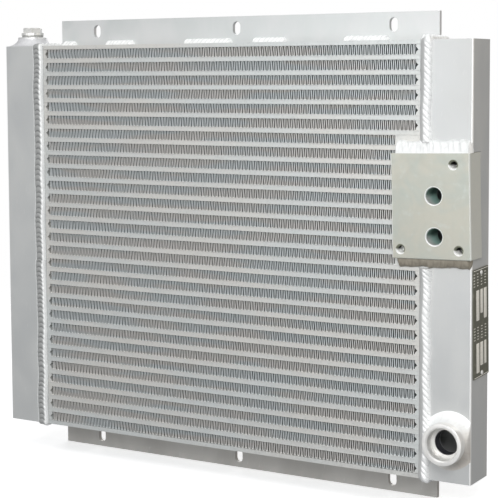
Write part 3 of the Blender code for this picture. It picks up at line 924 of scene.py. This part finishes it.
def make_turned(name, node, origin, out, profile, material, segments=96):
    """A lathe-turned piece. profile is a closed loop of (radius, height, painted shade)."""
    origin = Vector(origin)
    out = Vector(out)
    spoke_at = spoke_finder(out)
    rings = []
    for k in range(segments):
        spoke = spoke_at(TAU * k / segments)
        rings.append([tuple(origin + spoke * r + out * h) for r, h, _ in profile])
    points, faces = skin_rings(rings, closed_along=True)
    piece = make_piece(name, points, faces, material, smooth_angle=32)
    paint(piece, "soot_and_shade", [soot_and_shade for _, _, soot_and_shade in profile] * segments)
    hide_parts(node)


def rounded_rim(radius, height, bevel, steps=4):
    """The rounded outer edge of a turned face, as (radius, height, painted shade)."""
    rim = []
    for step in range(steps + 1):
        angle = math.pi / 2 * step / steps
        across = radius - bevel + bevel * math.cos(angle)
        rim.append((across, height - bevel + bevel * math.sin(angle), 0))
    return rim


def port_boss_profile(height):
    """The port boss: a rounded rim, a chamfered and grooved socket, and a bore behind it painted dark
    with shade.
    """
    sleeve = BOSS_BORE_R - 0.15 * MM
    profile = [(sleeve, -3.2 * MM, 1), (BOSS_BORE_R, -3.2 * MM, 1)]
    profile += [(BOSS_BORE_R, 0.3 * MM, 1), (BOSS_R, 0.3 * MM, 0)]
    profile += rounded_rim(BOSS_R, height, 0.7 * MM)
    profile += [(SOCKET_R + 1.3 * MM, height, 0), (SOCKET_R + 1.0 * MM, height - 0.3 * MM, 0)]
    profile.append((SOCKET_R, height - 1.4 * MM, 0))
    grooves = 5
    groove = (SOCKET_DEPTH - 3.4 * MM) / grooves
    for number in range(grooves):
        top = height - 2.0 * MM - groove * number
        profile.append((SOCKET_R, top, 0))
        profile.append((SOCKET_R, top - groove * 0.45, 0))
        profile.append((SOCKET_R + 0.18 * MM, top - groove * 0.7, 0.05))
    floor = height - SOCKET_DEPTH
    profile += [(SOCKET_R, floor + 0.5 * MM, 0), (SOCKET_R - 0.5 * MM, floor, 0)]
    profile += [(BOSS_BORE_R + 0.3 * MM, floor, 0), (sleeve, floor - 0.5 * MM, 1)]
    return profile


# -------- threads


def make_thread(name, origin, out, radius, height, pitch, low, high, material, body=BODY):
    """A thread's ridge, wound about an axis from low to high along it.

    It stands inward from the radius by the height, or outward where the height is negative.
    """
    root = radius + math.copysign(0.1 * MM, height)
    origin = Vector(origin)
    out = Vector(out)
    spoke_at = spoke_finder(out)
    per_turn = 36
    turns = (high - low) / pitch - 1
    rings = []
    for k in range(round(turns * per_turn) + 1):
        level = low + pitch / 2 + pitch * k / per_turn
        spoke = spoke_at(TAU * k / per_turn)
        section = (
            (root, -0.46 * pitch),
            (radius, -0.46 * pitch),
            (radius - height, -0.08 * pitch),
            (radius - height, 0.08 * pitch),
            (radius, 0.46 * pitch),
            (root, 0.46 * pitch),
        )
        rings.append([tuple(origin + spoke * r + out * (level + dz)) for r, dz in section])
    points, faces = skin_rings(rings)
    return make_piece(name, points, faces, material, smooth_angle=25, body=body)


# -------- rating plate


def rounded_outline(low, high, radius, steps=4):
    """A rectangle's outline in the plate's own plane, anticlockwise, with rounded corners."""
    outline = []
    corners = (
        (high[0] - radius, high[1] - radius, 0),
        (low[0] + radius, high[1] - radius, 1),
        (low[0] + radius, low[1] + radius, 2),
        (high[0] - radius, low[1] + radius, 3),
    )
    for u, v, quarter in corners:
        for step in range(steps + 1):
            angle = math.pi / 2 * (quarter + step / steps)
            outline.append((u + radius * math.cos(angle), v + radius * math.sin(angle)))
    return outline


def make_plate_fields(material):
    """Blank fields, edge lines and dashes on the rating plate, with a slightly domed coat."""
    low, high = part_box("nameplate")
    centre = Vector((high.x, (low.y + high.y) / 2, (low.z + high.z) / 2))
    turn = Matrix.Rotation(PLATE_TILT, 3, "X")
    across = turn @ Vector((0, 1, 0))
    up = turn @ Vector((0, 0, 1))
    marks = list(PLATE_FIELDS)
    for middle in PLATE_COLUMNS:
        for row in range(PLATE_MARK_ROWS):
            for start in (36, -15):
                base = start + PLATE_MARK_STEP * row
                marks.append((middle - 1.7, base, middle + 1.7, base + 0.8))
    skins = []
    for left, bottom, right, top in marks:
        size = min(right - left, top - bottom)
        radius = min(0.8, size * 0.4)
        rings = []
        for inset, rise in ((0, -0.02), (0, 0.05), (0.12, 0.09)):
            ring = rounded_outline(
                (left + inset, bottom + inset), (right - inset, top - inset), radius - inset / 2
            )
            rings.append(
                [
                    tuple(centre + across * u * MM + up * v * MM + Vector((rise * MM, 0, 0)))
                    for u, v in ring
                ]
            )
        skins.append(skin_rings(rings))
    points, faces = join_skins(skins)
    piece = make_piece("nameplate_fields", points, faces, material, smooth_angle=30)


# -------- studio


def make_camera():
    """The photograph's camera, fitted to the object's edges and corners."""
    data = bpy.data.cameras.new("camera")
    data.sensor_width = 36
    data.lens = 106.5
    data.shift_y = -0.12
    camera = bpy.data.objects.new("camera", data)
    camera.location = (0.79719, -1.28358, 0.41543)
    turn = Matrix.Rotation(math.radians(30.86), 4, "Z")
    tip = Matrix.Rotation(math.radians(90 - 4.48), 4, "X")
    roll = Matrix.Rotation(math.radians(-0.28), 4, "Z")
    camera.rotation_euler = (turn @ tip @ roll).to_euler()
    bpy.context.scene.collection.objects.link(camera)
    bpy.context.scene.camera = camera


def make_light(name, place, aim, size, power, colour=(1, 1, 1)):
    """A rectangular softbox that faces its aim and stays out of the picture."""
    data = bpy.data.lights.new(name, "AREA")
    data.shape = "RECTANGLE"
    data.size, data.size_y = size
    data.energy = power
    data.color = colour
    light = bpy.data.objects.new(name, data)
    light.location = place
    light.rotation_euler = (Vector(aim) - Vector(place)).to_track_quat("-Z", "Y").to_euler()
    light.visible_camera = False
    bpy.context.scene.collection.objects.link(light)


def make_floor():
    size = 30
    mesh = bpy.data.meshes.new("studio_floor")
    corners = [(-size, -size, 0), (size, -size, 0), (size, size, 0), (-size, size, 0)]
    mesh.from_pydata(corners, [], [(0, 1, 2, 3)])
    mesh.materials.append(floor_finish())
    floor = bpy.data.objects.new("studio_floor", mesh)
    bpy.context.scene.collection.objects.link(floor)
    floor.visible_diffuse = False
    floor.visible_glossy = False


def make_lights():
    target = (0, 0, 0.22)
    make_light("key_softbox", (1.05, -2.0, 1.35), target, (0.8, 0.8), 31)
    make_light("front_softbox", (-0.5, -2.6, 0.6), target, (1.8, 1.2), 11.5)
    make_light("low_front_fill", (0.5, -2.2, 0.1), (0.2, 0, 0.12), (1.6, 0.7), 6.5)
    make_light("top_softbox", (-0.2, -0.2, 2.4), target, (2.4, 2.0), 15.5)
    make_light("right_fill", (2.6, 0.9, 0.9), target, (1.4, 1.4), 9.0, (1.0, 0.80, 0.56))
    make_light("back_fill", (-1.0, 2.8, 1.4), target, (2.0, 1.6), 26)


def make_world():
    """A dim room for the object's light, and plain white where the camera looks past it."""
    world = bpy.data.worlds.new("studio")
    world.use_nodes = True
    tree = world.node_tree
    room = tree.nodes["Background"]
    room.inputs["Color"].default_value = (0.95, 0.97, 1.0, 1)
    room.inputs["Strength"].default_value = 0.32
    backdrop = tree.nodes.new("ShaderNodeBackground")
    backdrop.inputs["Color"].default_value = (1, 1, 1, 1)
    mix = tree.nodes.new("ShaderNodeMixShader")
    rays = tree.nodes.new("ShaderNodeLightPath")
    tree.links.new(rays.outputs["Is Camera Ray"], mix.inputs["Fac"])
    tree.links.new(room.outputs["Background"], mix.inputs[1])
    tree.links.new(backdrop.outputs["Background"], mix.inputs[2])
    tree.links.new(mix.outputs["Shader"], tree.nodes["World Output"].inputs["Surface"])
    bpy.context.scene.world = world
    bpy.context.scene.view_settings.view_transform = "Standard"


# -------- assembly


make_camera()

brazed = brazed_finish()
fin = fin_finish()
tank = tank_finish("tank_aluminium", (0.605, 0.616, 0.612), (0.64, 0.647, 0.636))
flange = tank_finish("flange_aluminium", (0.655, 0.679, 0.671), (0.718, 0.725, 0.722))
# The lower flange's finish is a darker, browner copy: painted shade under the core.
shaded_flange = tank_finish("lower_flange_shaded_aluminium", (0.49, 0.475, 0.445), (0.56, 0.545, 0.515))
weld = weld_finish("weld_aluminium", (0.97, 0.975, 0.965), (0.88, 0.89, 0.88), (0.24, 0.245, 0.24))
flare = weld_finish("clean_weld", (0.90, 0.91, 0.90), (0.72, 0.73, 0.72), (0.42, 0.43, 0.42))
bleed_flare = weld_finish("bleed_boss_flare", (0.68, 0.68, 0.69), (0.54, 0.53, 0.54), (0.4, 0.4, 0.4))
# The port boss fillet's brown valley colour is also its painted shadow.
shadowed_flare = weld_finish("port_boss_flare", (0.97, 0.98, 0.97), (0.90, 0.91, 0.90), (0.44, 0.39, 0.33))
# A dark brown copy of the weld finish: painted shadow for the fillet under the block.
shadowed_weld = weld_finish(
    "shadowed_weld", (0.312, 0.281, 0.226), (0.226, 0.199, 0.156), (0.148, 0.129, 0.101)
)
block_low, block_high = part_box("manifold_block")
block_centre = (block_low + block_high) / 2
block_centre.y = FRONT
stud_centres = {
    word: opening_centre(f"block_{word}_stud_hole") for word in ("upper", "lower_right", "lower_left")
}
holes = []
for word in ("upper", "lower"):
    holes.append((opening_centre(f"block_{word}_port"), PORT_R, PORT_CHAMFER, True))
for centre in stud_centres.values():
    holes.append((centre, STUD_R, STUD_CHAMFER, False))
machined = machined_finish(block_low.y, block_centre, holes)
boss_low, boss_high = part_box("port_boss")
boss_centre = (boss_low + boss_high) / 2
turned = turned_finish("turned_aluminium", boss_centre, "Y", (0.93, 0.92, 0.89))
bleed_low, bleed_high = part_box("bleed_boss")
bleed_centre = (bleed_low + bleed_high) / 2
turned_upright = turned_finish("turned_bleed_boss", bleed_centre, "Z", (0.80, 0.80, 0.79))
steel = steel_finish()
seal = seal_finish()
plate = plate_finish()
fields = field_finish()

give(brazed, "brazed_core_frame", "side_plate_top", "side_plate_bottom")
give(tank, "left_tank", "right_tank", "right_tank_baffle")
give(flange, "top_mounting_flange")
give(shaded_flange, "bottom_mounting_flange")
for word in ("left", "right"):
    give(tank, f"{word}_tank_top_cap", f"{word}_tank_bottom_cap")
give(machined, "manifold_block")
give(turned, "nameplate_top_rivet", "nameplate_bottom_rivet")
give(steel, "bleed_plug")
give(seal, "bleed_washer")
give(plate, "nameplate")

for row in range(1, ROWS + 1):
    make_fin(row, fin)
make_sheet_edges(brazed)

# The right bead stops above and below the block, and the left one goes all the way round.
block_welds_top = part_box("manifold_block_top_weld")[1].z
block_welds_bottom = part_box("manifold_block_bottom_weld")[0].z
make_tank_bead(
    "right_tank_bead",
    "right_tank_weld",
    side=1,
    swell_at=(block_welds_top, block_welds_bottom),
    start_z=block_welds_bottom + 1 * MM,
    end_z=block_welds_top - 1 * MM,
    closed=False,
    seed=7,
    material=weld,
)
make_tank_bead(
    "left_tank_bead",
    "left_tank_weld",
    side=-1,
    swell_at=None,
    start_z=LEFT_BEAD_START_Z,
    end_z=LEFT_BEAD_START_Z,
    closed=True,
    seed=8,
    material=weld,
)

# Fillets along the block's top and bottom, in its own slightly turned frame.
block_turn = Matrix.Rotation(-BLOCK_TURN, 3, "Y")
block_right = block_turn @ Vector((1, 0, 0))
block_up = block_turn @ Vector((0, 0, 1))
for word, side, seed, end_x, foot, height, ripple, metal in (
    ("top", 1, 21, 41, 11.5, 7.6, 0.5, flare),
    ("bottom", -1, 22, 38.6, 8.5, 6.0, 0.3, shadowed_weld),
):
    edge = block_centre + block_up * side * BLOCK_HALF_H
    piece = line_weld(
        f"block_{word}_fillet",
        start=edge - block_right * 38 * MM,
        end=edge + block_right * end_x * MM,
        wall=block_up * side,
        rise=(0, -1, 0),
        foot=foot * MM,
        height=height * MM,
        seed=seed,
        material=metal,
        amplitude=ripple * MM,
        pitch=6.5 * MM,
        bow=5 * MM,
        spatter=0.8 * MM,
    )
    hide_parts(f"manifold_block_{word}_weld")

boss_foot = Vector((boss_centre.x, FRONT, boss_centre.z))
profile = port_boss_profile(FRONT - boss_low.y)
make_turned("turned_port_boss", "port_boss", boss_foot, (0, -1, 0), profile, turned)
ring_weld(
    "port_boss_fillet",
    "port_boss_weld",
    boss_foot,
    (0, -1, 0),
    inner=BOSS_R - 0.1 * MM,
    height=14 * MM,
    clamp=on_tank_front,
    seed=31,
    material=shadowed_flare,
    amplitude=0.48 * MM,
    tint=0.75,
)
bleed_foot = Vector((bleed_centre.x, bleed_centre.y, TANK_TOP))
bleed_height = bleed_high.z - TANK_TOP
# The bleed bore is painted dark with shade.
profile = [(BLEED_BORE_R, 0.3 * MM, 1), (BLEED_R, 0.3 * MM, 0)]
profile += rounded_rim(BLEED_R, bleed_height, 0.8 * MM)
profile += [(BLEED_BORE_R + 0.4 * MM, bleed_height, 0), (BLEED_BORE_R, bleed_height - 0.4 * MM, 0)]
make_turned("turned_bleed_boss", "bleed_boss", bleed_foot, (0, 0, 1), profile, turned_upright)
ring_weld(
    "bleed_boss_fillet",
    "bleed_boss_weld",
    bleed_foot,
    (0, 0, 1),
    inner=BLEED_R - 0.1 * MM,
    height=9.0 * MM,
    clamp=on_tank_top,
    seed=32,
    material=bleed_flare,
    amplitude=1.2 * MM,
)

flange_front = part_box("top_mounting_flange")[0].y
for number, (start, end) in enumerate(STITCHES, 1):
    for word, z, up in (("top", TANK_TOP, 1), ("bottom", TANK_BOTTOM, -1)):
        line_weld(
            f"{word}_flange_stitch_{number}",
            start=(start * MM, flange_front, z),
            end=(end * MM, flange_front, z),
            wall=(0, -1, 0),
            rise=(0, 0, up),
            foot=6.5 * MM,
            height=5.5 * MM,
            seed=40 + number + 10 * (up + 1),
            material=weld,
            amplitude=0.7 * MM,
            pitch=RIPPLE_PITCH,
            bow=2.5 * MM,
            spatter=0.6 * MM,
        )

# Threads in the block's stud holes and on the bleed plug's shank.
for word, centre in stud_centres.items():
    thread = make_thread(
        f"{word}_stud_thread",
        (centre.x, block_low.y, centre.z),
        (0, 1, 0),
        radius=STUD_R + 0.05 * MM,
        height=0.45 * MM,
        pitch=1.25 * MM,
        low=1.4 * MM,
        high=12 * MM,
        material=machined,
    )
plug_low, plug_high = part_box("bleed_plug")
thread = make_thread(
    "bleed_plug_thread",
    ((plug_low.x + plug_high.x) / 2, (plug_low.y + plug_high.y) / 2, plug_low.z),
    (0, 0, 1),
    radius=PLUG_SHANK_R,
    height=-0.4 * MM,
    pitch=PLUG_LEAD,
    low=0.6 * MM,
    high=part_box("bleed_washer")[0].z - plug_low.z - 0.4 * MM,
    material=steel,
    body="plug",
)

make_plate_fields(fields)

make_floor()
make_lights()
make_world()
